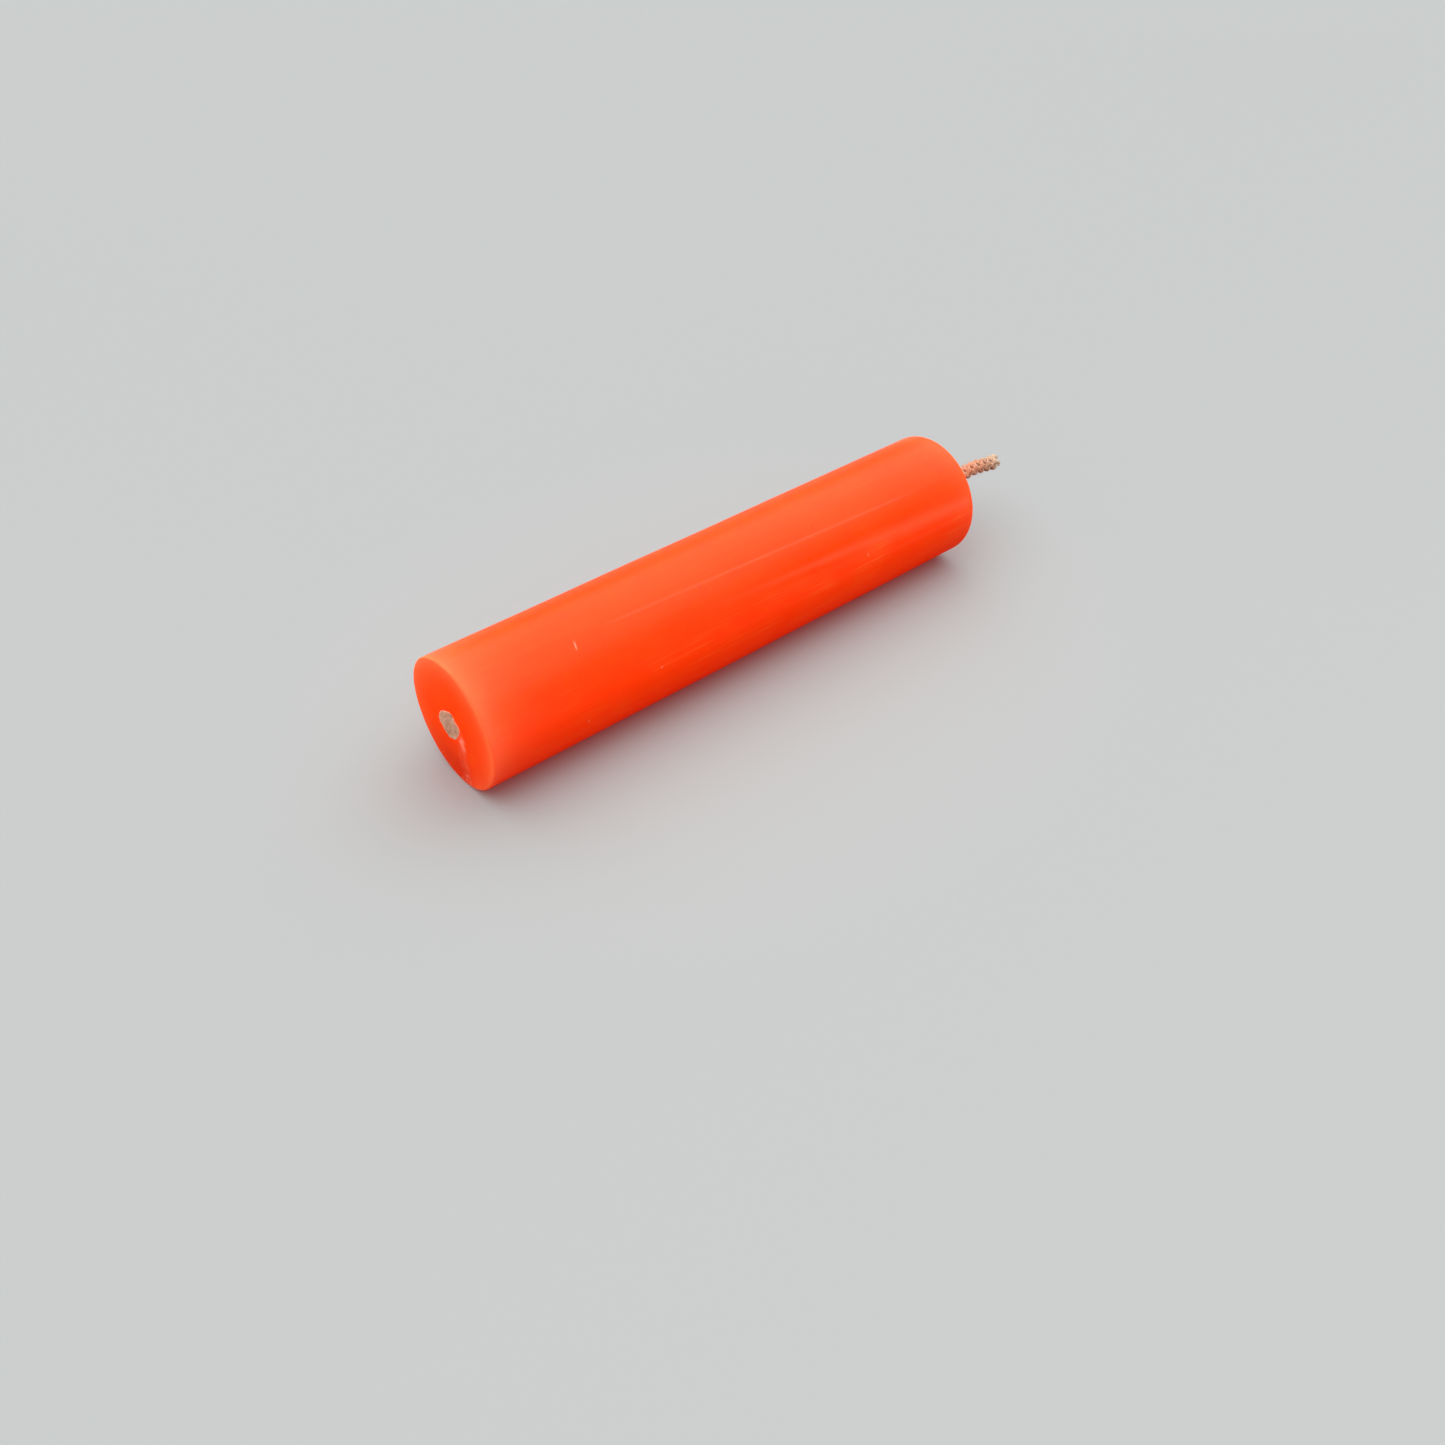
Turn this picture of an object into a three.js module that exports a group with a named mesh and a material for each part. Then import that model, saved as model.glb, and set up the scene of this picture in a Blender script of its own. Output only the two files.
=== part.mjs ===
// A short, fat wax candle lying on its side, with a round-braided cotton wick.
//
// Millimetres. The candle lies on the plane z = 0, +X runs along it from the
// base to the wick, and the origin is below the middle of its overall length.
// Everything is laid out in the candle's own frame, whose origin is the centre
// of the flat base, and the whole group is moved at the very end.
//
// The wax body is one turned solid with a channel along its axis. The wick is
// eight strands braided one over, one under (four run each way round) about a
// straight core thread. Inside the wax each strand is one length. The free end
// is three short lengths, so that it can bend at the wax and at two places above.
import * as THREE from "three";
import { mergeVertices } from "three/addons/utils/BufferGeometryUtils.js";

// ---- wax body ----
const BODY_RADIUS = 12.5;
const BODY_LENGTH = 117; // base to top face, without the wick
const BASE_EDGE = 0.6; // rounding of the base rim
const TOP_EDGE = 1.1; // rounding of the top rim
const CHANNEL_GAP = 0.25; // wax stands this far clear of the braid
const COLLAR_HEIGHT = 0.45; // wax drawn up round the wick on the top face
const COLLAR_RADIUS = 4.2; // where that collar runs out into the top face
const BODY_SIDES = 48; // flats; the candle lies on one of them
const BASE_EDGE_STEPS = 3;
const TOP_EDGE_STEPS = 4;
const COLLAR_STEPS = 4;
const FLARE_STEPS = 5;

// ---- wick braid ----
const STRANDS_EACH_WAY = 4; // 4 clockwise and 4 anticlockwise
const BRAID_MEAN_RADIUS = 0.825; // strand centres lie this far from the axis on average
const BRAID_WEAVE = 0.32; // and move this far in and out as they cross
const STRAND_RADIUS = 0.235;
const STRAND_RADIUS_EMBEDDED = 0.22; // squeezed thinner inside the wax
const CORE_RADIUS = 0.2;
const BRAID_RADIUS = BRAID_MEAN_RADIUS + BRAID_WEAVE + STRAND_RADIUS;
const PITCH_EMBEDDED = 13; // one turn of a strand inside the wax, where the wick is tight
const PITCH_FREE = 8; // one turn in the free end, where it has relaxed
const STRAND_SIDES = 5;
const STRAND_SIDES_EMBEDDED = 4;
const CORE_SIDES = 5;

// ---- cut end at the base: spread, and off the candle's centre ----
const FLARE_LENGTH = 6;
const FLARE_FACTOR = 1.85;
const BASE_DRIFT_Y = 0.8;
const BASE_DRIFT_Z = -0.7;

// ---- upper end of the wick; distances are from the top face ----
const EMBEDDED_END = 0.42;
const PIVOTS = [0.95, 7.5, 14]; // where the wick bends
const HALF_GAP = 0.5; // each length stops this far from a pivot
const FREE_END = 21.2; // tip of the wick
const NARROWING_DEPTH = 9; // the wick starts to narrow this far below the top face

// Width of the braid: tight where it leaves the wax, loose towards the tip.
// [distance from the top face, factor]
const WIDTHS = [
  [-NARROWING_DEPTH, 1],
  [0, 0.88],
  [9, 1],
  [FREE_END, 1.1],
];

// The free end's centre line rises in a hump, then drops at the tip.
const HUMP = { height: 0.65, centre: 13.6, spread: 3.6 };
const TIP_DROP = { depth: 0.35, start: 16, length: 5 };

const wax = new THREE.MeshStandardMaterial({ color: 0xff4a14, roughness: 0.42, metalness: 0 });
const cotton = new THREE.MeshStandardMaterial({ color: 0xd9b391, roughness: 0.95, metalness: 0 });

// ---- how the wick varies along x ----

// Eases from 0 to 1 as t goes from 0 to 1, and holds outside that range.
function smooth(t) {
  const clamped = Math.min(1, Math.max(0, t));
  return clamped * clamped * (3 - 2 * clamped);
}

// 1 at the base, 0 where the spread end of the wick is over.
function flareAt(x) {
  return smooth((FLARE_LENGTH - x) / FLARE_LENGTH);
}

// The braid is laid out straight and even, then scaled about its axis by this.
function swellAt(x) {
  const distance = x - BODY_LENGTH;
  let width = WIDTHS[0][1];
  for (let i = 0; i + 1 < WIDTHS.length; i++) {
    const [start, startWidth] = WIDTHS[i];
    const [end, endWidth] = WIDTHS[i + 1];
    width += (endWidth - startWidth) * smooth((distance - start) / (end - start));
  }
  return width * (1 + (FLARE_FACTOR - 1) * flareAt(x));
}

// Height of the wick's centre line above the candle's axis, base drift aside.
function archAt(x) {
  const distance = x - BODY_LENGTH;
  if (distance <= 0) return 0;
  const hump = HUMP.height * Math.exp(-(((distance - HUMP.centre) / HUMP.spread) ** 2));
  return hump - TIP_DROP.depth * smooth((distance - TIP_DROP.start) / TIP_DROP.length);
}

// Angle turned by a strand up to x, in radians. It is a whole number of
// crossings at the top face, so the free end carries on in step.
function phaseAt(x) {
  const embedded = Math.min(x, BODY_LENGTH);
  const free = Math.max(0, x - BODY_LENGTH);
  return (2 * Math.PI * embedded) / PITCH_EMBEDDED + (2 * Math.PI * free) / PITCH_FREE;
}

// ---- braid curves ----

// Where a length's rings stand along x: its two ends, and every `step` counted
// from the top face, so that rings fall on the crossings of the braid.
// Rings too close to an end are left out.
function stationsBetween(from, to, step) {
  const stations = [from];
  const minGap = 0.2 * step;
  const first = Math.ceil((from - BODY_LENGTH) / step - 1e-9);
  for (let i = first; BODY_LENGTH + i * step < to; i++) {
    const x = BODY_LENGTH + i * step;
    if (x - stations[stations.length - 1] > minGap && to - x > minGap) stations.push(x);
  }
  stations.push(to);
  return stations;
}

// The straight axis through the stations, before swell, drift and arch.
class CoreCurve extends THREE.Curve {
  constructor(stations) {
    super();
    this.stations = stations;
  }
  stationAt(t) {
    const last = this.stations.length - 1;
    const place = t * last;
    const i = Math.min(last - 1, Math.floor(place));
    return this.stations[i] + (this.stations[i + 1] - this.stations[i]) * (place - i);
  }
  // Puts the sweep's rings on the stations instead of at equal arc lengths.
  getUtoTmapping(u) {
    return u;
  }
  getPoint(t, target = new THREE.Vector3()) {
    return target.set(this.stationAt(t), 0, 0);
  }
}

// One strand's centre line. It runs round the axis one way (+1 or -1), and in
// and out as it crosses the strands that run the other way.
class StrandCurve extends CoreCurve {
  constructor(stations, way, index) {
    super(stations);
    this.way = way;
    this.index = index;
  }
  getPoint(t, target = new THREE.Vector3()) {
    const x = this.stationAt(t);
    const phase = phaseAt(x);
    const angle = this.way * phase + (2 * Math.PI * this.index) / STRANDS_EACH_WAY;
    const weave = this.way * BRAID_WEAVE * Math.cos(STRANDS_EACH_WAY * phase);
    const radius = BRAID_MEAN_RADIUS + weave;
    return target.set(x, radius * Math.cos(angle), radius * Math.sin(angle));
  }
}

// ---- geometry ----

function polygon(radius, sides) {
  const corners = [];
  for (let i = 0; i < sides; i++) {
    const angle = (2 * Math.PI * i) / sides;
    corners.push(new THREE.Vector2(radius * Math.cos(angle), radius * Math.sin(angle)));
  }
  return new THREE.Shape(corners);
}

// Joins the faces into one closed surface.
function weld(geometry, tolerance) {
  geometry.deleteAttribute("normal");
  geometry.deleteAttribute("uv");
  return mergeVertices(geometry, tolerance);
}

// Sweeps a polygon along a braid curve, cuts its ends square to the candle's
// axis, and applies the swell, the drift at the base and the arch.
function threadGeometry(curve, radius, sides) {
  const { stations } = curve;
  const steps = stations.length - 1;
  const swept = new THREE.ExtrudeGeometry(polygon(radius, sides), {
    steps,
    bevelEnabled: false,
    extrudePath: curve,
  });
  const geometry = weld(swept, 1e-5);
  const position = geometry.getAttribute("position");
  for (let i = 0; i < position.count; i++) {
    let x = position.getX(i);
    if (x < (stations[0] + stations[1]) / 2) x = stations[0];
    if (x > (stations[steps - 1] + stations[steps]) / 2) x = stations[steps];
    const swell = swellAt(x);
    const flare = flareAt(x);
    const y = position.getY(i) * swell + BASE_DRIFT_Y * flare;
    const z = position.getZ(i) * swell + BASE_DRIFT_Z * flare + archAt(x);
    position.setXYZ(i, x, y, z);
  }
  return geometry;
}

function channelRadius(x) {
  return (BRAID_RADIUS + CHANNEL_GAP) * swellAt(x);
}

// Closed outline of the wax as (radius, x), from the channel's mouth at the base.
function bodyProfile() {
  const points = [];
  const add = (radius, x) => points.push(new THREE.Vector2(radius, x));
  const addQuarter = (centreX, edge, startAngle, steps) => {
    for (let i = 0; i <= steps; i++) {
      const angle = startAngle + ((Math.PI / 2) * i) / steps;
      add(BODY_RADIUS - edge + edge * Math.cos(angle), centreX + edge * Math.sin(angle));
    }
  };
  // base face, base rim, side, top rim
  add(channelRadius(0), 0);
  addQuarter(BASE_EDGE, BASE_EDGE, -Math.PI / 2, BASE_EDGE_STEPS);
  add(BODY_RADIUS, BODY_LENGTH / 2);
  addQuarter(BODY_LENGTH - TOP_EDGE, TOP_EDGE, 0, TOP_EDGE_STEPS);
  // top face and collar
  const mouthRadius = channelRadius(BODY_LENGTH);
  for (let i = 0; i <= COLLAR_STEPS; i++) {
    const t = i / COLLAR_STEPS;
    const radius = COLLAR_RADIUS + (mouthRadius - COLLAR_RADIUS) * t;
    add(radius, BODY_LENGTH + COLLAR_HEIGHT * t * t);
  }
  // channel, back down to its flared mouth at the base
  for (const depth of [1, 4, NARROWING_DEPTH]) {
    add(channelRadius(BODY_LENGTH - depth), BODY_LENGTH - depth);
  }
  for (let i = FLARE_STEPS; i > 0; i--) {
    const x = (FLARE_LENGTH * i) / FLARE_STEPS;
    add(channelRadius(x), x);
  }
  points.push(points[0].clone());
  return points;
}

// Moves the channel's flared mouth off centre with the wick.
function driftMouth(geometry) {
  const position = geometry.getAttribute("position");
  const reach = channelRadius(0) + 0.01;
  for (let i = 0; i < position.count; i++) {
    const x = position.getX(i);
    const y = position.getY(i);
    const z = position.getZ(i);
    if (x > FLARE_LENGTH || Math.hypot(y, z) > reach) continue;
    const flare = flareAt(x);
    position.setXYZ(i, x, y + BASE_DRIFT_Y * flare, z + BASE_DRIFT_Z * flare);
  }
}

function waxBody() {
  // turned by half a side, so that it lies on a flat and not on a corner
  const halfSide = Math.PI / BODY_SIDES;
  const geometry = weld(new THREE.LatheGeometry(bodyProfile(), BODY_SIDES, halfSide), 1e-4);
  geometry.rotateZ(-Math.PI / 2); // lathe axis +Y onto +X
  driftMouth(geometry);
  const acrossFlats = 1 / Math.cos(halfSide); // so that radii are true at the flats
  geometry.scale(1, acrossFlats, acrossFlats);
  const body = new THREE.Mesh(geometry, wax);
  body.name = "wax_body";
  return body;
}

// One length of wick: eight strands and the core thread.
function wickLength({ label, from, to, spacing, coreSpacing, radius, sides }) {
  const group = new THREE.Group();
  group.name = `wick_${label}`;
  const addThread = (part, geometry) => {
    const mesh = new THREE.Mesh(geometry, cotton);
    mesh.name = `wick_${part}_${label}`;
    group.add(mesh);
  };
  const stations = stationsBetween(from, to, spacing);
  let number = 0;
  for (const way of [1, -1]) {
    for (let index = 0; index < STRANDS_EACH_WAY; index++) {
      number += 1;
      const curve = new StrandCurve(stations, way, index);
      addThread(`strand_${number}`, threadGeometry(curve, radius, sides));
    }
  }
  const core = new CoreCurve(stationsBetween(from, to, coreSpacing));
  addThread("core_thread", threadGeometry(core, CORE_RADIUS, CORE_SIDES));
  return group;
}

function embeddedWick() {
  return wickLength({
    label: "embedded",
    from: 0,
    to: BODY_LENGTH + EMBEDDED_END,
    spacing: PITCH_EMBEDDED / (2 * STRANDS_EACH_WAY),
    coreSpacing: 4,
    radius: STRAND_RADIUS_EMBEDDED,
    sides: STRAND_SIDES_EMBEDDED,
  });
}

// A free length runs from one pivot to the next; the last runs to the tip.
function freeWick(label, index) {
  const isLast = index === PIVOTS.length - 1;
  return wickLength({
    label,
    from: BODY_LENGTH + PIVOTS[index] + HALF_GAP,
    to: isLast ? BODY_LENGTH + FREE_END : BODY_LENGTH + PIVOTS[index + 1] - HALF_GAP,
    spacing: PITCH_FREE / (4 * STRANDS_EACH_WAY),
    coreSpacing: 1,
    radius: STRAND_RADIUS,
    sides: STRAND_SIDES,
  });
}

const candle = new THREE.Group();
candle.name = "candle";
candle.add(waxBody(), embeddedWick(), ...["lower", "middle", "tip"].map(freeWick));
candle.position.set(-(BODY_LENGTH + FREE_END) / 2, 0, BODY_RADIUS);
candle.updateMatrixWorld(true);

export default candle;
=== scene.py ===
"""Looks of a short, fat wax candle with a braided cotton wick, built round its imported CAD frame.

The candle lies along x, with its flat base at the low end and its wick at the high end. Lengths
are in millimetres in the candle's own frame (x from the base, y and z from the axis) and go into
the row frame, in metres, when a mesh is made. Angles round the axis run from +y towards +z.
A "station" is a distance along the wick from the wax's top face, negative inside the wax.
"""

import math

import bpy
import numpy as np
from mathutils import Matrix, Vector

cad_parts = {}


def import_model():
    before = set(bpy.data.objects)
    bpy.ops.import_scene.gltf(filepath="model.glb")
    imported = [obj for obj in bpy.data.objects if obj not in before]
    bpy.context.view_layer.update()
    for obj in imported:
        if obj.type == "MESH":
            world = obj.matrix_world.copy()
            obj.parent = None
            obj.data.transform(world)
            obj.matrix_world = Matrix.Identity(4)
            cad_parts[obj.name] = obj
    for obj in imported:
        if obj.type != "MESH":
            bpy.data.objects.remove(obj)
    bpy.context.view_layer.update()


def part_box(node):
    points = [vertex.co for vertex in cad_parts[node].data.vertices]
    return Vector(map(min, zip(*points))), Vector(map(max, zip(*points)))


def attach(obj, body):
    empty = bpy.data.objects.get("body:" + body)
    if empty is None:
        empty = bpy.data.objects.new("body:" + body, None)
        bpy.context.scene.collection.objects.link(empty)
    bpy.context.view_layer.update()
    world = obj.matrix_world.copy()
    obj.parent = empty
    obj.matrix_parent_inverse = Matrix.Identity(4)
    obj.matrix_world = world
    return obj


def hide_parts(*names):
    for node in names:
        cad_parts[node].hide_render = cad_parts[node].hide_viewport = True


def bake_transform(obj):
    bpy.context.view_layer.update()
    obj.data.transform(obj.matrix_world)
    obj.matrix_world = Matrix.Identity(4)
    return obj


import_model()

MM = 0.001

# ---------------------------------------------------------------- places, from the CAD
wax_lo, wax_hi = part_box("wax_body")
COLLAR = 0.45  # the wax drawn up round the wick
RADIUS = (wax_hi.z - wax_lo.z) / 2 / MM
LENGTH = (wax_hi.x - wax_lo.x) / MM - COLLAR
ORIGIN = np.array([wax_lo.x, (wax_lo.y + wax_hi.y) / 2, (wax_lo.z + wax_hi.z) / 2])
FREE = (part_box("wick_core_thread_tip")[1].x - wax_lo.x) / MM - LENGTH  # wick outside the wax


# ---------------------------------------------------------------- shared helpers
def row(points):
    """Candle frame in mm to row frame in metres."""
    return np.asarray(points, float) * MM + ORIGIN


def smooth(t):
    t = np.clip(t, 0.0, 1.0)
    return t * t * (3 - 2 * t)


def bell(value, width):
    return np.exp(-((value / width) ** 2))


def gauss(value, sigma):
    return np.exp(-0.5 * (value / sigma) ** 2)


def spot(y, z, wide_y, wide_z):
    return np.exp(-((y / wide_y) ** 2) - ((z / wide_z) ** 2))


def arc_distance(a, b):
    return np.abs((a - b + np.pi) % (2 * np.pi) - np.pi)


def lobe(angle, middle, sigma):
    """A gaussian round the axis; middle and sigma are in degrees."""
    return gauss(arc_distance(angle, np.radians(middle)), np.radians(sigma))


def mesh_object(name, verts, faces, material, attributes):
    """A smooth-shaded mesh in the row frame from points in the candle frame."""
    mesh = bpy.data.meshes.new(name)
    mesh.from_pydata(row(verts).tolist(), [], faces)
    mesh.validate(verbose=False)
    for key, values in attributes.items():
        values = np.asarray(values, np.float32)
        if values.ndim == 1:
            mesh.attributes.new(key, "FLOAT", "POINT").data.foreach_set("value", values)
        else:
            layer = mesh.attributes.new(key, "FLOAT_VECTOR", "POINT")
            layer.data.foreach_set("vector", values.ravel())
    mesh.polygons.foreach_set("use_smooth", np.full(len(mesh.polygons), True))
    mesh.materials.append(material)
    mesh.update()
    ob = bpy.data.objects.new(name, mesh)
    bpy.context.scene.collection.objects.link(ob)
    return ob


# ---------------------------------------------------------------- node helpers
class Nodes:
    """Short names for building the node tree of a material or world."""

    def __init__(self, owner):
        owner.use_nodes = True
        self.tree = owner.node_tree
        self.tree.nodes.clear()

    def new(self, kind, **props):
        node = self.tree.nodes.new(kind)
        for key, value in props.items():
            setattr(node, key, value)
        return node

    def put(self, socket, value):
        if isinstance(value, bpy.types.NodeSocket):
            self.tree.links.new(value, socket)
        else:
            socket.default_value = value

    def fill(self, node, values):
        for key, value in values.items():
            self.put(node.inputs[key], value)
        return node

    def math(self, op, a, b=0.0, clamp=False):
        node = self.new("ShaderNodeMath", operation=op, use_clamp=clamp)
        return self.fill(node, {0: a, 1: b, 2: 0.0}).outputs[0]

    def add(self, a, b):
        return self.math("ADD", a, b)

    def mul(self, a, b):
        return self.math("MULTIPLY", a, b)

    def vector(self, op, a, b):
        node = self.new("ShaderNodeVectorMath", operation=op)
        return self.fill(node, {0: a, 1: b}).outputs

    def scale(self, vector, factor):
        node = self.new("ShaderNodeVectorMath", operation="SCALE")
        return self.fill(node, {0: vector, 3: factor}).outputs[0]

    def attribute(self, name, output="Fac"):
        return self.new("ShaderNodeAttribute", attribute_name=name).outputs[output]

    def coords(self, kind="Object"):
        return self.new("ShaderNodeTexCoord").outputs[kind]

    def camera_ray(self):
        return self.new("ShaderNodeLightPath").outputs["Is Camera Ray"]

    def split(self, vector):
        return self.fill(self.new("ShaderNodeSeparateXYZ"), {0: vector}).outputs

    def join(self, x, y, z):
        return self.fill(self.new("ShaderNodeCombineXYZ"), {0: x, 1: y, 2: z}).outputs[0]

    def noise(self, vector, scale, detail, rough):
        values = {"Vector": vector, "Scale": scale, "Detail": detail, "Roughness": rough}
        return self.fill(self.new("ShaderNodeTexNoise"), values).outputs["Fac"]

    def mix(self, factor, first, second, blend="MIX"):
        """Mixes two colours, each a socket or three numbers."""
        node = self.new("ShaderNodeMix", data_type="RGBA", blend_type=blend)
        self.put(node.inputs["Factor"], factor)
        for i, colour in ((6, first), (7, second)):
            self.put(node.inputs[i], (*colour, 1.0) if isinstance(colour, tuple) else colour)
        return node.outputs[2]

    def fit(self, value, span, to=(0.0, 1.0), interpolation="LINEAR"):
        """Maps the span of values to another."""
        node = self.new("ShaderNodeMapRange", interpolation_type=interpolation)
        return self.fill(node, dict(enumerate((value, *span, *to)))).outputs[0]

    def ramp(self, value, stops):
        node = self.new("ShaderNodeValToRGB")
        elements = node.color_ramp.elements
        while len(elements) < len(stops):
            elements.new(0.5)
        for element, (at, colour) in zip(elements, stops):
            element.position = at
            element.color = (*colour, 1.0)
        return self.fill(node, {0: value}).outputs[0]

    def bump(self, height, strength, distance, normal=None):
        values = {"Strength": strength, "Distance": distance, "Height": height}
        if normal is not None:
            values["Normal"] = normal
        return self.fill(self.new("ShaderNodeBump"), values).outputs[0]


class Surface(Nodes):
    """A material with one Principled shader."""

    def __init__(self, name):
        self.material = bpy.data.materials.new(name)
        super().__init__(self.material)
        output = self.new("ShaderNodeOutputMaterial")
        self.shader = self.new("ShaderNodeBsdfPrincipled")
        self.put(output.inputs[0], self.shader.outputs[0])

    def finish(self, values):
        self.fill(self.shader, values)
        return self.material


# ---------------------------------------------------------------- materials
def wax_material():
    """Orange wax. The mesh says where it is paler (tint), where light through it is painted in
    paler (painted light), deeper or cut.
    """
    m = Surface("neon_orange_wax")
    coords = m.coords()
    x, y, z = m.split(coords)
    # direction round the axis, so that patterns stretch along the candle with no seam
    y = m.math("DIVIDE", m.math("SUBTRACT", y, float(ORIGIN[1])), RADIUS * MM)
    z = m.math("DIVIDE", m.math("SUBTRACT", z, float(ORIGIN[2])), RADIUS * MM)
    x = m.mul(x, 1 / MM)
    in_mm = m.scale(coords, 1 / MM)

    def drawn(stretch, **noise):
        return m.noise(m.join(m.mul(x, stretch), y, z), **noise)

    cloud = m.noise(in_mm, scale=0.045, detail=3, rough=0.55)
    streaks = drawn(0.012, scale=9.0, detail=4, rough=0.6)
    fine = drawn(0.004, scale=38.0, detail=2, rough=0.6)
    hair = drawn(0.0011, scale=52.0, detail=2, rough=0.5)
    pores = m.noise(in_mm, scale=3.2, detail=3, rough=0.6)
    cut = m.attribute("cut")

    pigment = m.mix(m.fit(cloud, (0.3, 0.7)), (1.0, 0.073, 0.0006), (1.0, 0.086, 0.0018))
    streak_amount = m.mul(m.fit(streaks, (0.45, 0.75)), 0.22)
    pigment = m.mix(streak_amount, pigment, (1.0, 0.095, 0.006))
    # hair-thin scratches in patches, densest along the -y side
    side = m.add(m.mul(y, -0.9976), m.mul(z, 0.0698))
    side = m.fit(side, (0.90, 0.985), to=(0.10, 1.0))
    patches = m.fit(m.noise(in_mm, scale=0.09, detail=1, rough=0.5), (0.35, 0.60))
    scratch = m.mul(m.mul(m.fit(hair, (0.50, 0.64)), side), patches)
    pigment = m.mix(m.mul(scratch, 0.62), pigment, (1.0, 0.20, 0.035))
    # painted light: thin wax near an edge lets more light through, and that light is painted in as
    # a paler colour
    for key, op, colour in (
        ("glow", "MULTIPLY", (1.0, 0.25, 0.105)),
        ("deep", "MULTIPLY", (0.34, 0.045, 0.010)),
        ("tint", "MINIMUM", (1.0, 0.56, 0.40)),
    ):
        amount = m.math(op, m.attribute(key), 1.0, clamp=True)
        pigment = m.mix(amount, pigment, colour)
    rough = m.add(
        m.fit(fine, (0.3, 0.7), to=(0.29, 0.35)), m.fit(streaks, (0.3, 0.7), to=(-0.03, 0.03))
    )
    normal = m.bump(streaks, strength=0.10, distance=0.00009)
    normal = m.bump(fine, strength=0.22, distance=0.00003, normal=normal)
    normal = m.bump(pores, strength=0.10, distance=0.00003, normal=normal)
    m.shader.subsurface_method = "RANDOM_WALK"
    return m.finish({
        "Base Color": pigment,
        "Roughness": m.add(rough, m.mul(cut, 0.16)),
        "IOR": 1.44,
        "Specular IOR Level": m.fit(cut, (0.0, 1.0), to=(0.20, 0.04)),
        "Subsurface Weight": 1.0,
        "Subsurface Radius": (1.0, 0.42, 0.12),
        "Subsurface Scale": 2.6 * MM,
        "Subsurface Anisotropy": 0.3,
        # painted light: a constant orange emission stands in for the fluorescent pigment turning
        # blue and green light into orange, and also lifts the shaded sides
        "Emission Color": (1.0, 0.004, 0.0, 1.0),
        "Emission Strength": 0.465,
        "Normal": normal,
    })


# the cotton's colour from 1 mm inside the wax (0) to near the tip (1)
COTTON_STOPS = (
    (0.00, (0.98, 0.150, 0.030)),
    (0.06, (0.93, 0.215, 0.070)),
    (0.13, (1.00, 0.360, 0.212)),
    (0.45, (0.91, 0.375, 0.240)),
    (0.74, (0.77, 0.345, 0.222)),
    (0.88, (0.74, 0.420, 0.300)),
    (1.00, (0.80, 0.600, 0.460)),
)


def cotton_material():
    """Braided cotton. `along` is the station, `yarn` is (mm along the yarn, turn round it, a
    number of its own)."""
    m = Surface("wick_cotton")
    along = m.attribute("along")
    length, turn, number = m.split(m.attribute("yarn", "Vector"))
    own = m.fit(number, (0.0, 1.0))
    turn = m.mul(turn, 2 * math.pi)
    # fibres wind round each yarn
    wind = m.add(turn, m.mul(length, 2.4))
    fibre = m.join(
        m.mul(m.math("COSINE", wind), 1.0),
        m.mul(m.math("SINE", wind), 1.0),
        m.add(m.mul(length, 0.35), m.mul(number, 37.0)),
    )
    lines = m.noise(fibre, scale=4.6, detail=3, rough=0.65)
    blot_place = m.join(
        m.math("COSINE", turn),
        m.math("SINE", turn),
        m.add(m.mul(length, 0.8), m.mul(number, 91.0)),
    )
    blot = m.noise(blot_place, scale=1.1, detail=2, rough=0.5)

    colour = m.ramp(m.fit(along, (-1.0, FREE - 0.8)), COTTON_STOPS)
    # the cut end at the base is bare cotton
    base_end = m.fit(along, (-LENGTH + 1.6, -LENGTH + 0.2))
    colour = m.mix(base_end, colour, (1.0, 0.51, 0.36))
    pale = m.mix(0.5, colour, (0.95, 0.82, 0.66))
    dark = m.mix(1.0, colour, (0.62, 0.46, 0.36), "MULTIPLY")
    for value, span, most, shade in (
        (lines, (0.52, 0.78), 0.75, pale),
        (lines, (0.46, 0.22), 0.85, dark),
        (blot, (0.50, 0.75), 0.35, pale),
        (own, (0.5, 0.0), 0.30, dark),
        (own, (0.6, 1.0), 0.30, pale),
    ):
        colour = m.mix(m.fit(value, span, to=(0.0, most)), colour, shade)
    colour = m.mix(base_end, colour, (1.0, 0.0, 0.0), "LIGHTEN")
    # a few dark yarns in the cut end
    dark_yarn = m.mul(base_end, m.fit(own, (0.13, 0.06), to=(0.0, 0.85)))
    colour = m.mix(dark_yarn, colour, (0.40, 0.20, 0.12))
    rough = m.add(
        m.fit(along, (0.0, 3.0), to=(0.52, 0.84)), m.fit(lines, (0.3, 0.7), to=(-0.06, 0.06))
    )
    m.shader.subsurface_method = "RANDOM_WALK"
    return m.finish({
        "Base Color": colour,
        "Roughness": rough,
        "IOR": 1.45,
        "Subsurface Weight": 0.35,
        "Subsurface Radius": (1.0, 0.55, 0.35),
        "Subsurface Scale": 0.25 * MM,
        "Sheen Weight": 0.25,
        "Sheen Roughness": 0.5,
        "Normal": m.bump(lines, strength=0.65, distance=0.00004),
    })


WAX = wax_material()
COTTON = cotton_material()

# ---------------------------------------------------------------- the wick's cut end at the base
# corners of its outline: y, z
PATCH = np.array([
    (3.88, 0.55), (1.70, 1.95), (-0.18, 2.48), (-1.32, 1.10),
    (-2.56, 0.11), (-0.65, -2.89), (1.84, -3.94), (4.56, -1.71),
])
PATCH_CENTRE = np.array([0.8, -0.7])


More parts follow.
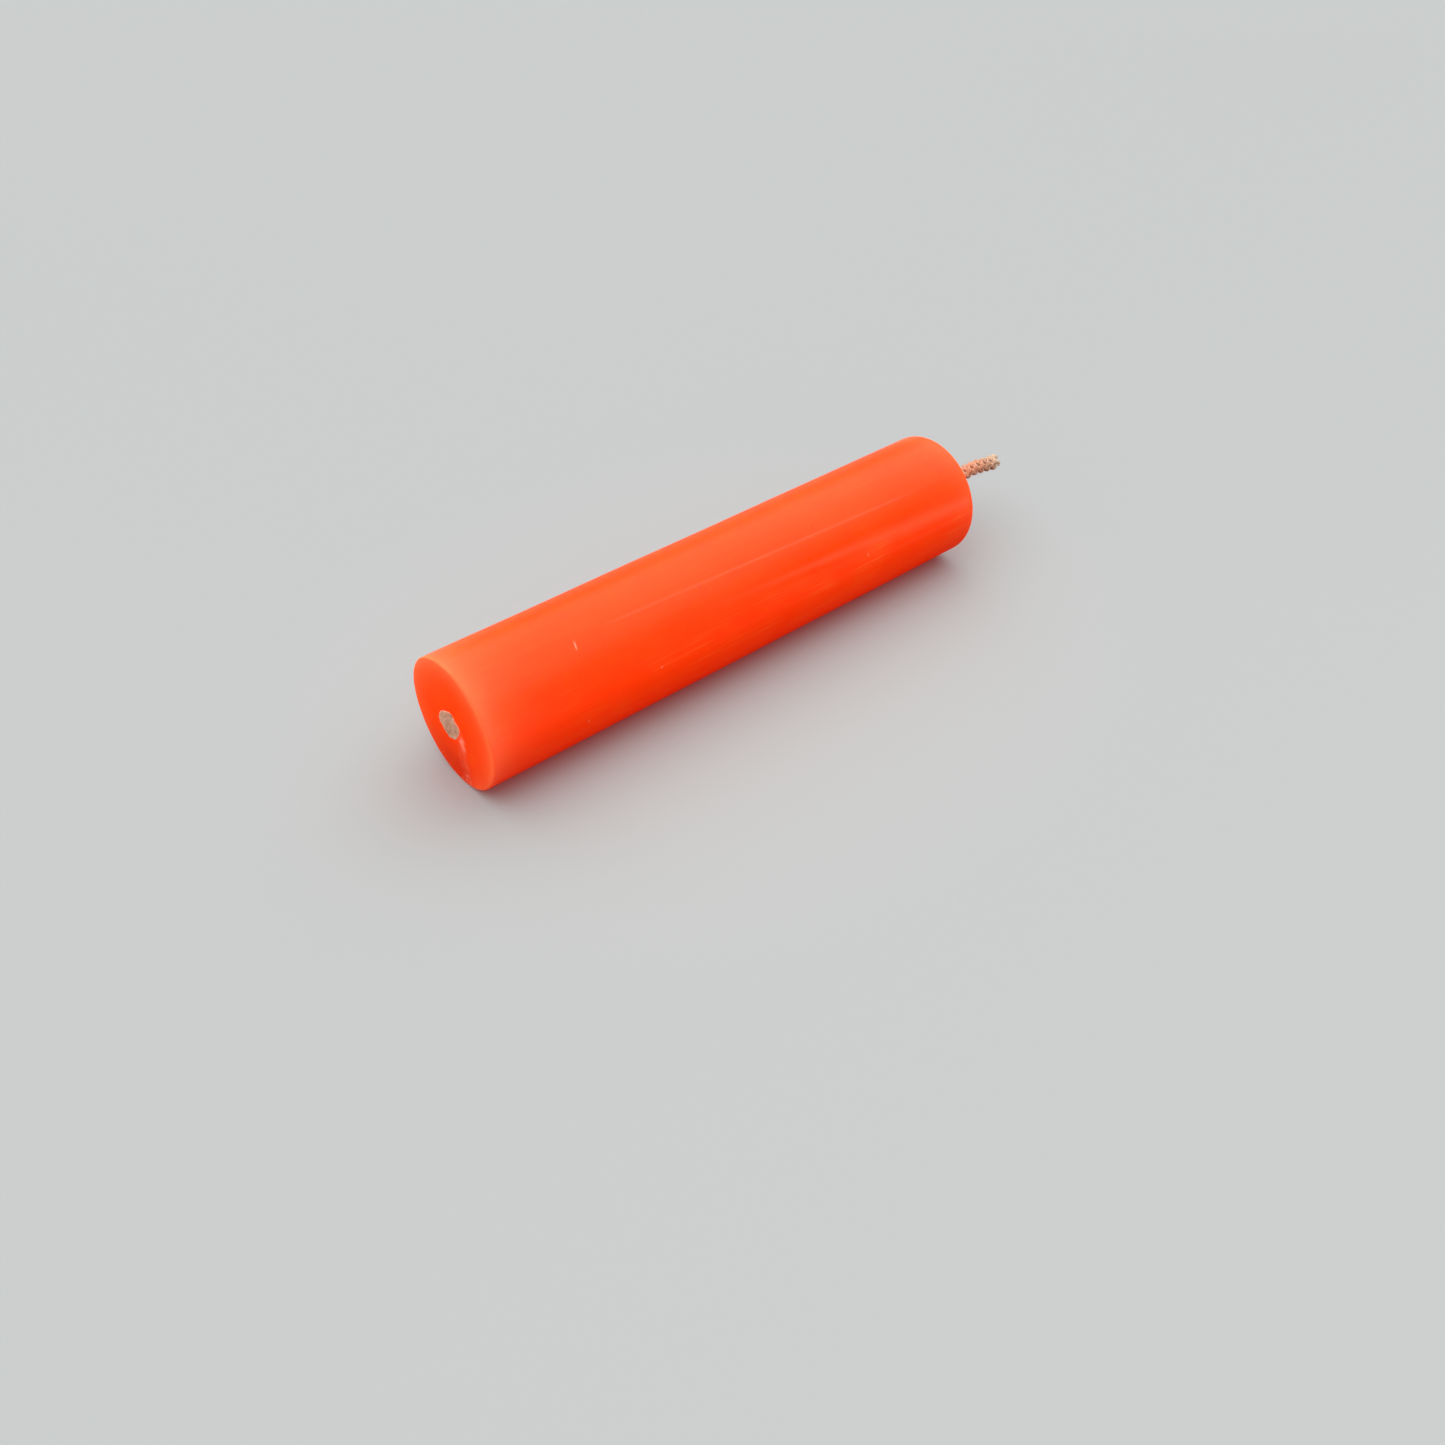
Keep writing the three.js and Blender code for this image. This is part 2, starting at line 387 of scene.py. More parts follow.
def outline_radius(outline, centre, angles):
    """Distance from the centre to a closed outline at each angle."""
    out = np.zeros(len(angles))
    corners = outline - centre
    for i, angle in enumerate(angles):
        ray = np.array([math.cos(angle), math.sin(angle)])
        for k in range(len(corners)):
            corner = corners[k]
            edge = corners[(k + 1) % len(corners)] - corner
            cross = ray[0] * edge[1] - ray[1] * edge[0]
            if abs(cross) < 1e-12:
                continue
            reach = (corner[0] * edge[1] - corner[1] * edge[0]) / cross
            share = (corner[0] * ray[1] - corner[1] * ray[0]) / cross
            if reach > 0 and -1e-6 <= share <= 1 + 1e-6:
                out[i] = max(out[i], reach)
    return out


def soft_patch():
    """The patch's outline with its corners softened: angles and distances."""
    angles = np.linspace(0, 2 * np.pi, 721)[:-1]
    radius = outline_radius(PATCH, PATCH_CENTRE, angles)
    kernel = gauss(np.arange(-40, 41), 9.0)
    kernel /= kernel.sum()
    radius = np.convolve(np.concatenate([radius[-40:], radius, radius[:40]]), kernel, "valid")
    radius += 0.05 * np.cos(7 * angles + 0.6) + 0.04 * np.cos(11 * angles + 2.0)
    return angles, radius


PATCH_ANGLES, PATCH_RADII = soft_patch()


def patch_radius(angles):
    """Distance from PATCH_CENTRE to the patch's edge at each angle."""
    return np.interp(np.mod(angles, 2 * np.pi), PATCH_ANGLES, PATCH_RADII, period=2 * np.pi)


# ---------------------------------------------------------------- wax body
BASE_EDGE, TOP_EDGE = 0.5, 1.1  # rounding of the rims
COLLAR_RADIUS = 4.2
BORE = 1.40
AROUND = 352
ANGLES = 2 * np.pi * np.arange(AROUND) / AROUND
COS, SIN = np.cos(ANGLES), np.sin(ANGLES)

# marks on the side: x, angle in degrees, half length round the side, half width along x,
# relief, how much paler, how much deeper in colour
MARKS = (
    (21.6, 123.7, 0.74, 0.12, -0.060, 0.85, 0.0),
    (35.7, 171.6, 0.22, 0.16, -0.030, 0.60, 0.0),
    (19.6, -171.3, 0.22, 0.16, -0.030, 0.70, 0.0),
    (86.7, 164.1, 0.24, 0.15, -0.030, 0.45, 0.0),
    (48.8, 124.2, 0.50, 0.14, -0.045, 0.0, 0.9),
    (49.6, 128.4, 0.42, 0.14, -0.045, 0.0, 0.9),
    (77.2, 119.5, 0.48, 0.14, -0.045, 0.0, 0.8),
)
# crumbs near the base's rim: y, z, size
CRUMBS = ((-2.2, -11.2, 0.18), (-3.9, -10.6, 0.14), (-0.9, -11.5, 0.16), (5.2, -9.6, 0.12))


def side_relief(x):
    """Round the side at one x: height above a true cylinder, how much paler, how much deeper."""
    rng = np.random.default_rng(11)
    height = 0.030 * np.cos(2 * ANGLES - 1.2) + 0.012 * np.cos(3 * ANGLES + 1.0)
    for _ in range(14):
        waves = rng.integers(0, 6)
        twist = rng.uniform(-1, 1) * 2 * np.pi / 30
        size = 0.006 * rng.uniform(0.4, 1.0)
        height = height + size * np.cos(waves * ANGLES + twist * x + rng.uniform(0, 6.28))
    tint = np.zeros(AROUND)
    # lines drawn along the wax, most of them over part of its length
    for _ in range(150):
        centre = rng.uniform(0, 2 * np.pi)
        busy = 0.16 + 0.5 * lobe(centre, 178, 13)
        lean = rng.normal(0, 0.0006)
        width = rng.uniform(0.018, 0.035)
        middle, half = rng.uniform(0, LENGTH), rng.uniform(12, 70)
        depth = rng.uniform(-0.007, 0.008)
        shape = gauss(arc_distance(ANGLES, centre + lean * (x - 60)), width)
        shape = shape * smooth((half - np.abs(x - middle)) / 10)
        height = height + depth * busy * shape
        tint = tint + (0.030 * busy if depth > 0.002 else 0.0) * shape
    # one long faint seam
    line = np.radians(119.0) + np.radians(11.0) * (x - 30) / 71
    seam = gauss(arc_distance(ANGLES, line) * RADIUS, 0.16)
    seam = seam * smooth((x - 26) / 8) * smooth((104 - x) / 8)
    height = height + 0.018 * seam
    tint = tint + 0.085 * seam
    # a shallow flat that widens towards the top end; its paler colour is a painted highlight
    flat = lobe(ANGLES, 148.0 + 12.0 * (x - 66) / 49, 1.6 + 2.6 * smooth((x - 60) / 55))
    flat = flat * smooth((x - 34) / 60) * smooth((118 - x) / 4)
    height = height - 0.030 * flat
    tint = tint + 0.095 * flat
    deep = np.zeros_like(tint)
    for mark_x, mark_angle, half, wide, dip, paler, deeper in MARKS:
        arc = (ANGLES - np.radians(mark_angle) + np.pi) % (2 * np.pi) - np.pi
        offset = x - mark_x + 0.25 * arc * RADIUS
        ends = np.exp(-((arc * RADIUS / half) ** 4))
        shape = bell(offset, wide) * ends
        height = height + dip * shape
        tint = tint + paler * shape
        deep = deep + deeper * shape
        rim = bell(np.abs(offset) - 2.0 * wide, wide) * ends
        height = height + 0.25 * abs(dip) * rim
    return height, tint, deep


def base_relief(y, z):
    """How far the base face stands out towards -x, how much paler and how much deeper it is."""
    radius = np.hypot(y, z)
    height = -0.035 * smooth(1 - radius / 11) + 0.010 * np.cos(0.55 * y + 0.9 * z + 0.7)
    # arcs left by the blade
    blade = np.hypot(y + 31, z - 24)
    height = height + 0.0035 * np.cos(2 * np.pi * blade / 1.15)
    height = height + 0.0025 * np.cos(2 * np.pi * blade / 0.47 + 1.0)
    # a smear from the wick's lower edge to the rim
    top_y, top_z, rim_y, rim_z = -3.03, -3.26, -3.42, -11.25
    t = np.clip((z - top_z) / (rim_z - top_z), 0, 1)
    off = y - (top_y + (rim_y - top_y) * t + 0.18 * np.sin(6.0 * t))
    below = smooth((-2.6 - z) / 1.2)
    height = height + 0.022 * bell(off, 0.22) * below
    height = height - 0.030 * bell(off - 0.9, 0.8) * below
    patchy = 0.55 + 0.45 * np.sin(2.1 * z + 1.0) * np.sin(5.3 * z)
    tint = 0.16 * patchy * bell(off, 0.26) * below
    tint = tint + 0.075 * bell(off - 0.8, 1.2) * below * (0.7 + 0.3 * np.sin(1.7 * z + 2.0))
    broken = smooth((-4.2 - z) / 1.5) * (0.5 + 0.5 * np.sin(2.9 * z))
    tint = tint + 0.09 * bell(off - 1.9, 0.20) * broken
    # deeper colour round the wick, below it and beside the smear
    deep = 0.13 + 0.15 * bell(radius, 7.0) + 0.14 * spot(y + 6.0, z + 4.0, 4.0, 5.0)
    deep = deep + 0.87 * bell(y - 0.8, 9.5) * smooth((-1.5 - z) / 8.5)
    deep = deep + 0.22 * bell(off - 1.4, 0.30) * below * (0.6 + 0.4 * np.sin(3.3 * z))
    deep = deep - 0.30 * bell(off + 2.6, 1.6) * below
    # a lobe of pale wax at the edge of the wick
    shape = spot(y + 2.55 + 0.3 * np.sin(3 * z), z + 2.5, 0.70, 1.35)
    tint = tint + 0.60 * shape
    height = height - 0.05 * shape
    # a pale speck near the rim, then the crumbs
    shape = spot(y + 2.62, z + 9.98, 0.20, 0.24)
    tint = tint + 0.95 * shape
    height = height + 0.05 * shape
    for crumb_y, crumb_z, size in CRUMBS:
        shape = spot(y - crumb_y, z - crumb_z, size, size)
        tint = tint + 0.45 * shape
        height = height + 0.035 * shape
    return height, tint, deep


# radii and places round the body, one value to an angle
MOUTH = patch_radius(ANGLES)  # the hole in the base that the wick fills
MOUTH_Y, MOUTH_Z = PATCH_CENTRE[0] + MOUTH * COS, PATCH_CENTRE[1] + MOUTH * SIN
BASE_ROUND = BASE_EDGE * (1 + 0.15 * np.cos(2 * ANGLES + 0.4) + 0.12 * np.cos(5 * ANGLES + 2.0))
BASE_ROUND = BASE_ROUND * (1 - 0.5 * lobe(ANGLES, 43, 22))
BASE_FACE = RADIUS + side_relief(0.6)[0] - BASE_ROUND
# painted light: a paler lobe on the upper side of the base's rim, for light coming through it
BASE_PAINTED_LIGHT = lobe(ANGLES, 52, 28)  # where more light comes through the base's rim
TOP_ROUND = TOP_EDGE * (1 + 0.06 * np.cos(3 * ANGLES + 0.5))
TOP_FACE = RADIUS + side_relief(LENGTH - TOP_EDGE)[0] - TOP_ROUND
COLLAR_MOUTH = 1.30 + 0.05 * np.cos(4 * ANGLES + 0.3) + 0.03 * np.cos(7 * ANGLES)


class WaxMesh:
    """Collects rings of points, their wax attributes and the faces between them."""

    def __init__(self):
        self.rings, self.values, self.faces = [], [], []
        self.count = 0

    def add(self, x, y, z, tint=0.0, glow=0.0, deep=0.0, cut=0.0):
        """Adds a ring and returns the numbers of its points."""
        self.rings.append(np.stack([np.broadcast_to(x, y.shape), y, z], 1))
        values = [np.broadcast_to(v, y.shape).astype(float) for v in (tint, glow, deep, cut)]
        self.values.append(np.stack(values, 1))
        self.count += len(y)
        return list(range(self.count - len(y), self.count))

    def close_body(self):
        """Joins every ring so far to the next, and the last to the first."""
        total = len(self.rings)
        for j in range(total):
            p, q = j * AROUND, ((j + 1) % total) * AROUND
            for k in range(AROUND):
                k2 = (k + 1) % AROUND
                self.faces.append((p + k, q + k, q + k2, p + k2))

    def plug(self, x_face, x_back, y, z, tint, deep):
        """A closed disc of soaked cotton and wax that fills a hole behind its face."""
        y, z = y[::8], z[::8]
        inward = float(np.sign(x_back - x_face))
        middle_y, middle_z = y.mean(), z.mean()
        index = []
        for x, scale in (
            (x_face, 0.0), (x_face, 0.5), (x_face, 0.97), (x_face + inward * 0.06, 1.0),
            (x_back, 1.0), (x_back, 0.5), (x_back, 0.0),
        ):
            if scale == 0.0:
                ring_y, ring_z = np.array([middle_y]), np.array([middle_z])
            else:
                ring_y = middle_y + (y - middle_y) * scale
                ring_z = middle_z + (z - middle_z) * scale
            index.append(self.add(x, ring_y, ring_z, tint=tint, deep=deep, cut=1.0))
        for lower, upper in zip(index, index[1:]):
            for k in range(len(y)):
                k2 = (k + 1) % len(y)
                if len(lower) == 1:
                    face = (lower[0], upper[k], upper[k2])
                elif len(upper) == 1:
                    face = (lower[k], upper[0], lower[k2])
                else:
                    face = (lower[k], upper[k], upper[k2], lower[k2])
                self.faces.append(face if inward > 0 else face[::-1])

    def build(self, name):
        values = np.concatenate(self.values)
        attributes = {key: values[:, i] for i, key in enumerate(("tint", "glow", "deep", "cut"))}
        return mesh_object(name, np.concatenate(self.rings), self.faces, WAX, attributes)


def base_face(wax):
    """The base face, from the wick outwards."""
    steps = 40
    for i in range(steps + 1):
        t = i / steps
        y = MOUTH_Y * (1 - t) + BASE_FACE * COS * t
        z = MOUTH_Z * (1 - t) + BASE_FACE * SIN * t
        height, tint, deep = base_relief(y, z)
        fade = smooth((1 - t) / 0.06)
        lip = 0.05 * bell(t, 0.03)  # rounded into the mouth
        inside = RADIUS - np.hypot(y, z)
        # painted light: paler near the rim, more so on the upper side, for light coming through
        # the wax
        glow = 0.76 * np.exp(-inside / 2.0) + 0.40 * BASE_PAINTED_LIGHT * np.exp(-inside / 2.4)
        wax.add(-height * fade + lip, y, z, tint, glow, deep, cut=1.0)


def base_rim(wax):
    """The base's rounded rim, with small burrs; painted light makes it paler, with a painted
    highlight line along one side.
    """
    # painted highlight: a paler line along one side of the rim
    thin = 0.45 * (0.5 + 0.5 * np.cos(ANGLES - np.radians(300)))
    noise = np.random.default_rng(5).normal(0, 1, AROUND)
    kernel = np.array([1, 2, 3, 4, 3, 2, 1]) / 7.0
    noise = np.convolve(np.concatenate([noise[-3:], noise, noise[:3]]), kernel, "valid")
    burr = 0.045 * np.maximum(noise - 0.4, 0) * lobe(ANGLES, 262, 24)
    burr = burr + 0.010 * noise
    _, tint, deep = base_relief(BASE_FACE * COS, BASE_FACE * SIN)
    for i in range(1, 8):
        fade = 1 - i / 8
        middle = np.sin(np.pi * i / 8)
        slope = -np.pi / 2 + np.pi / 2 * i / 8
        radius = BASE_FACE + BASE_ROUND * np.cos(slope) + burr * middle
        wax.add(
            BASE_ROUND * (1 + np.sin(slope)),
            radius * COS,
            radius * SIN,
            tint=tint * fade,
            glow=0.76 - 0.12 * i / 8 + 0.40 * BASE_PAINTED_LIGHT * fade + thin * middle,
            deep=deep * fade,
            cut=fade,
        )


def side(wax):
    """The side, with extra rings at the marks."""
    start = 0.9
    stations = list(np.linspace(0.0, 1.0, 100) * (LENGTH - TOP_EDGE - start) + start)
    for mark in MARKS:
        stations += [mark[0] + d for d in (-0.42, -0.3, -0.2, -0.1, 0.0, 0.1, 0.2, 0.3, 0.42)]
    stations = sorted(stations)
    pairs = zip(stations, stations[1:])
    for x in [stations[0]] + [after for before, after in pairs if after - before > 0.05]:
        height, tint, deep = side_relief(x)
        # painted light: paler near the base and the top end, for light coming through the ends
        glow = (0.60 + 0.35 * np.abs(COS)) * np.exp(-x / 4.0)
        glow = glow + (0.36 + 0.12 * np.abs(COS)) * np.exp((x - LENGTH) / 3.4)
        wax.add(x, (RADIUS + height) * COS, (RADIUS + height) * SIN, tint, glow, deep)


def top_rim(wax):
    for i in range(1, 10):
        slope = np.pi / 2 * i / 10
        radius = TOP_FACE + TOP_ROUND * np.cos(slope)
        x = LENGTH - TOP_EDGE + TOP_EDGE * np.sin(slope)
        # painted light: paler towards the top face, for light coming through the rim
        wax.add(x, radius * COS, radius * SIN, glow=0.34 + 0.25 * i / 10)


def top_face(wax):
    """The top face, and the wax drawn up round the wick."""
    steps = 24
    lift = 1 + 0.25 * np.cos(ANGLES - 2.2) + 0.14 * np.cos(2 * ANGLES + 0.5)
    lift = COLLAR * (lift + 0.08 * np.cos(5 * ANGLES))
    for i in range(steps + 1):
        t = (i / steps) ** 0.85
        radius = TOP_FACE * (1 - t) + COLLAR_MOUTH * t
        y, z = radius * COS, radius * SIN
        inside = TOP_FACE - radius
        rise = np.clip((COLLAR_RADIUS - radius) / (COLLAR_RADIUS - COLLAR_MOUTH), 0, 1)
        x = LENGTH + lift * rise**2.4 - 0.05 * smooth(inside / 4) * (1 - rise)
        x = x + 0.018 * np.cos(1.1 * y + 0.4) * np.cos(0.9 * z + 1.0) * smooth(inside / 2)
        # painted light: paler near the rim and up the collar, for light coming through the wax
        wax.add(x, y, z, glow=0.60 * np.exp(-inside / 2.3) + 0.35 * rise**2)


def channel(wax):
    """The wick's channel, from the collar back down to the mouth at the base."""
    top = wax.rings[-1][:, 0]
    for down, narrower in ((0.10, 0.06), (0.45, 0.02)):
        radius = COLLAR_MOUTH - narrower
        wax.add(top - down, radius * COS, radius * SIN)
    near_base = [6.0, 5.0, 4.0, 3.0, 2.2, 1.5, 0.9, 0.45, 0.16]
    for x in list(np.linspace(LENGTH - 2, 7.0, 14)) + near_base:
        flare = smooth((6 - x) / 6)
        y = BORE * COS * (1 - flare) + MOUTH_Y * flare
        z = BORE * SIN * (1 - flare) + MOUTH_Z * flare
        wax.add(x, y, z)


def wax_body():
    wax = WaxMesh()
    for part in (base_face, base_rim, side, top_rim, top_face, channel):
        part(wax)
    wax.close_body()
    # one plug behind the cut end, a little wider than its hole, and one under the collar
    wide = MOUTH + 0.02
    y, z = PATCH_CENTRE[0] + wide * COS, PATCH_CENTRE[1] + wide * SIN
    wax.plug(0.045, 0.9, y, z, tint=0.30, deep=0.3)
    wide = COLLAR_MOUTH + 0.02
    wax.plug(LENGTH + 0.10, LENGTH - 0.8, wide * COS, wide * SIN, tint=0.15, deep=0.0)
    return wax.build("wax_candle_body")


# ---------------------------------------------------------------- braid
STRANDS_EACH_WAY = 4
MEAN_RADIUS, WEAVE = 0.825, 0.32  # of a strand's path round the axis, and its in-and-out swing
PITCH_IN_WAX, PITCH_FREE = 13.0, 8.0
YARNS = 6
CORE_YARNS = YARNS + 1  # six round one
YARN_RADIUS, CORE_YARN_RADIUS = 0.165, 0.21
BUNDLE_WIDE, BUNDLE_THICK = 0.335, 0.125  # half sizes of a strand, to its yarns' centres
CORE_BUNDLE = 0.34
YARN_LAY = 4.4
TRIM = 0.9  # the cut end stops this much short of the CAD's
WIDTHS = ((-9.0, 1.0), (0.0, 0.97), (3.0, 1.06), (9.0, 1.06), (FREE, 1.12))  # station, scale
# each strand's way round and number, then the core
THREADS = [(way, index) for way in (1, -1) for index in range(STRANDS_EACH_WAY)] + [None]


def width_at(s):
    out = np.where(s <= WIDTHS[0][0], WIDTHS[0][1], WIDTHS[-1][1]).astype(float)
    for (s0, w0), (s1, w1) in zip(WIDTHS, WIDTHS[1:]):
        out = np.where((s > s0) & (s <= s1), w0 + (w1 - w0) * smooth((s - s0) / (s1 - s0)), out)
    return out


def arch_at(s):
    """How far the free wick bows towards +z."""
    bow = 0.95 * bell(s - 12.4, 5.0) * smooth(s / 4) - 0.15 * smooth((s - 16) / 5)
    return np.where(s <= 0, 0.0, bow)


def strand_centre(way, index, s):
    """Distance from the axis and angle round it, before width and arch."""
    top = 2 * np.pi * LENGTH / PITCH_IN_WAX
    phase = top + 2 * np.pi * s / np.where(s <= 0, PITCH_IN_WAX, PITCH_FREE)
    angle = way * phase + 2 * np.pi * index / STRANDS_EACH_WAY
    return MEAN_RADIUS + way * WEAVE * np.cos(STRANDS_EACH_WAY * phase), angle


# cells of the cut end at the base: one to a yarn, spread evenly over the patch
def clip(poly, point, normal):
    """The part of a convex polygon on the side of the line that the normal points away from."""
    out = []
    for i in range(len(poly)):
        p, q = poly[i], poly[(i + 1) % len(poly)]
        side_p, side_q = np.dot(p - point, normal), np.dot(q - point, normal)
        if side_p <= 0:
            out.append(p)
        if (side_p < 0 < side_q) or (side_q < 0 < side_p):
            out.append(p + (q - p) * side_p / (side_p - side_q))
    return out


def area_centre(poly):
    x, y = poly[:, 0], poly[:, 1]
    x2, y2 = np.roll(x, -1), np.roll(y, -1)
    cross = x * y2 - x2 * y
    area = cross.sum() / 2
    return np.array([((x + x2) * cross).sum(), ((y + y2) * cross).sum()]) / (6 * area)


def nearest_cells(sites, edge):
    """The part of the patch nearest to each site, None where nothing is left."""
    cells = []
    for p in sites:
        poly = list(edge)
        for j in np.argsort(((sites - p) ** 2).sum(1))[1:22]:
            q = sites[j]
            poly = clip(poly, (p + q) / 2, q - p)
            if len(poly) < 3:
                break
        cells.append(np.array(poly) if len(poly) >= 3 else None)
    return cells


def base_cells(sites):
    """Moves each site to its cell's centre again and again; gives the sites and their cells."""
    ring = np.linspace(0, 2 * np.pi, 49)[:-1]
    radius = patch_radius(ring) * 1.02
    edge = PATCH_CENTRE + np.stack([radius * np.cos(ring), radius * np.sin(ring)], 1)
    sites = np.array(sites, float)
    for _ in range(13):
        for i, cell in enumerate(nearest_cells(sites, edge)):
            if cell is None:
                sites[i] = PATCH_CENTRE + (sites[i] - PATCH_CENTRE) * 0.8
            else:
                sites[i] = area_centre(cell)
    return sites, nearest_cells(sites, edge)


def yarn_seeds():
    """What sets each yarn of each thread apart."""
    rng = np.random.default_rng(23)
    seeds = []
    for t, thread in enumerate(THREADS):
        for k in range(CORE_YARNS if thread is None else YARNS):
            seeds.append({
                "thread": t,
                "turn": 2 * np.pi * k / YARNS + rng.uniform(-0.15, 0.15),
                "out": 0.0 if k == YARNS else CORE_BUNDLE,  # the core's last yarn is its middle
                "own": rng.uniform(),
                "wobble": rng.uniform(0, 6.28, 4),
                "short": rng.uniform(0.0, 1.0) ** 1.5 * 1.5,
                "stray": rng.normal(0, 1, 2),
                "end": rng.uniform(-0.02, 0.05),
            })
    return seeds


SEEDS = yarn_seeds()


def yarn_line(seed, s):
    """Centre line of one yarn in the candle frame at stations s."""
    thread = THREADS[seed["thread"]]
    s = np.asarray(s, float)
    width = width_at(s)
    fray = smooth((s - (FREE - 4.2)) / 4.2)
    turn = seed["turn"] + 2 * np.pi * s / YARN_LAY
    # offsets from the strand's centre: round the axis and away from it
    if thread is None:
        across, away = seed["out"] * np.cos(turn), seed["out"] * np.sin(turn)
        radius = np.zeros_like(s)
        angle = np.full_like(s, 0.3)
    else:
        radius, angle = strand_centre(*thread, s)
        wobble = 0.018 * np.cos(2 * np.pi * s / 2.7 + seed["wobble"][0])
        across = (BUNDLE_WIDE + wobble) * np.cos(turn)
        away = (BUNDLE_THICK + 0.5 * wobble) * np.sin(turn)
    cos, sin = np.cos(angle), np.sin(angle)
    # the frayed end opens up
    spread, loose = 1 + 0.05 * fray, 1 + 0.25 * fray
    y = (radius + away) * cos * spread - across * sin * loose
    z = (radius + away) * sin * spread + across * cos * loose
    stray = seed["stray"] * 0.07
    y = y * width + stray[0] * fray
    z = z * width + stray[1] * fray
    return np.stack([s + LENGTH, y, z + arch_at(s)], 1)


def yarn_radius(seed, s):
    core = THREADS[seed["thread"]] is None
    return (CORE_YARN_RADIUS if core else YARN_RADIUS) * width_at(s)


def turn_from_x(direction):
    """The rotation that turns +x to a unit direction."""
    x_axis = np.array([1.0, 0, 0])
    v = np.cross(x_axis, direction)
    skew = np.array([[0, -v[2], v[1]], [v[2], 0, -v[0]], [-v[1], v[0], 0]])
    return np.eye(3) + skew + skew @ skew / (1 + float(x_axis @ direction))


def unit_rows(vectors):
    return vectors / np.linalg.norm(vectors, axis=1)[:, None]


SIDES = 8  # of a yarn
SIDE_ANGLES = 2 * np.pi * np.arange(SIDES) / SIDES


def section(radius):
    """A yarn's cross-section, square to x; the radius may differ from side to side."""
    return np.stack(
        [np.zeros(SIDES), radius * np.cos(SIDE_ANGLES), radius * np.sin(SIDE_ANGLES)], 1
    )


class Piece:
    """Collects tubes into one mesh."""

    def __init__(self):
        self.verts, self.faces, self.along, self.yarn = [], [], [], []
        self.count = 0

    def tube(self, rings, along, own, tip_a=None, tip_b=None, length=None):
        """Rings of equal size in order along the tube, closed by a point at each end."""
        rings = np.asarray(rings)
        n, k = rings.shape[:2]
        start = self.count
        self.verts.append(rings.reshape(-1, 3))
        along = np.asarray(along, float)
        length = along if length is None else np.asarray(length, float)
        self.along.append(np.repeat(along, k))
        turn = np.tile(np.arange(k) / k, n)
        self.yarn.append(np.stack([np.repeat(length, k), turn, np.full(n * k, own)], 1))
        for i in range(n - 1):
            p, q = start + i * k, start + (i + 1) * k
            for j in range(k):
                j2 = (j + 1) % k
                self.faces.append((p + j, p + j2, q + j2, q + j))
        self.count += n * k
        for ring, tip, first in ((0, tip_a, True), (n - 1, tip_b, False)):
            point = rings[ring].mean(0) if tip is None else tip
            self.verts.append(np.array([point]))
            self.along.append(np.array([along[ring]]))
            self.yarn.append(np.array([[length[ring], 0.5, own]]))
            c = self.count
            self.count += 1
            p = start + ring * k
            for j in range(k):
                j2 = (j + 1) % k
                self.faces.append((c, p + j2, p + j) if first else (c, p + j, p + j2))

    def fibre(self, rng, start, direction, length, thick, own, along,
              sides=3, bend=0.9, flat=False):
        """A thin loose fibre that curls; a flat one stays near the base plane."""
        heading = np.array(direction, float)
        heading /= np.linalg.norm(heading)
        sideways = np.cross(heading, (1.0, 0, 0) if flat else rng.normal(size=3))
        sideways /= np.linalg.norm(sideways)
        steps = 7
        point, points = np.array(start, float), []
        for _ in range(steps):
            points.append(point.copy())
            curl = sideways * bend * rng.uniform(0.2, 1.0) / steps
            heading = heading + curl + rng.normal(0, 0.10, 3)
            if flat:
                heading[0] *= 0.15
            heading /= np.linalg.norm(heading)
            point = point + heading * length / (steps - 1)
        points = np.array(points)
        radii = thick * np.linspace(1.0, 0.45, steps)
        along_fibre = unit_rows(np.gradient(points, axis=0))
        across = np.cross(along_fibre, sideways)
        across /= np.maximum(np.linalg.norm(across, axis=1), 1e-9)[:, None]
        rings = [
            [p + r * (math.cos(q) * n1 + math.sin(q) * n2)
             for q in 2 * np.pi * np.arange(sides) / sides]
            for p, r, n1, n2 in zip(points, radii, across, np.cross(along_fibre, across))
        ]
        self.tube(rings, np.full(steps, along), own, length=np.linspace(0, length, steps))

    def build(self, name):
        attributes = {"along": np.concatenate(self.along), "yarn": np.concatenate(self.yarn)}
        ob = mesh_object(name, np.concatenate(self.verts), self.faces, COTTON, attributes)
        return ob


def free_tube(piece, seed, s_from, s_to, last):
    """One yarn between two stations of the free end. The last length has a cut, rounded end."""
    end = s_to - (seed["short"] + TRIM if last else 0.0)
    n = max(4, int(round((end - s_from) / 0.15)))
    s = np.linspace(s_from, end, n + 1)
    line = yarn_line(seed, s)
    # directions come from the path itself, so that neighbouring lengths meet exactly
    heading = unit_rows(yarn_line(seed, s + 0.02) - yarn_line(seed, s - 0.02))
    wobble = seed["wobble"]
    uneven = 1 + 0.07 * np.cos(2 * np.pi * s / 1.9 + wobble[1])
    uneven = uneven + 0.05 * np.cos(2 * np.pi * s / 0.83 + wobble[2])
    radius = yarn_radius(seed, s) * uneven
    if last:
        radius = radius * (1 + 0.18 * smooth((s - (end - 1.2)) / 1.2))
    rings = [line[i] + section(radius[i]) @ turn_from_x(heading[i]).T for i in range(n + 1)]
    along = list(s)
    tip = None
    if last:
        for grow, shrink in ((0.05, 0.86), (0.08, 0.55)):
            rings.append(line[-1] + heading[-1] * grow + (rings[n] - line[-1]) * shrink)
            along.append(s[-1])
        tip = line[-1] + heading[-1] * 0.09
    piece.tube(rings, along, seed["own"], tip_b=tip)
    return s, line, heading, radius


SPLIT_ROOT, SPLIT_LOW, SPLIT_MID = -0.6, 4.2, 10.75  # stations where the wick's lengths meet


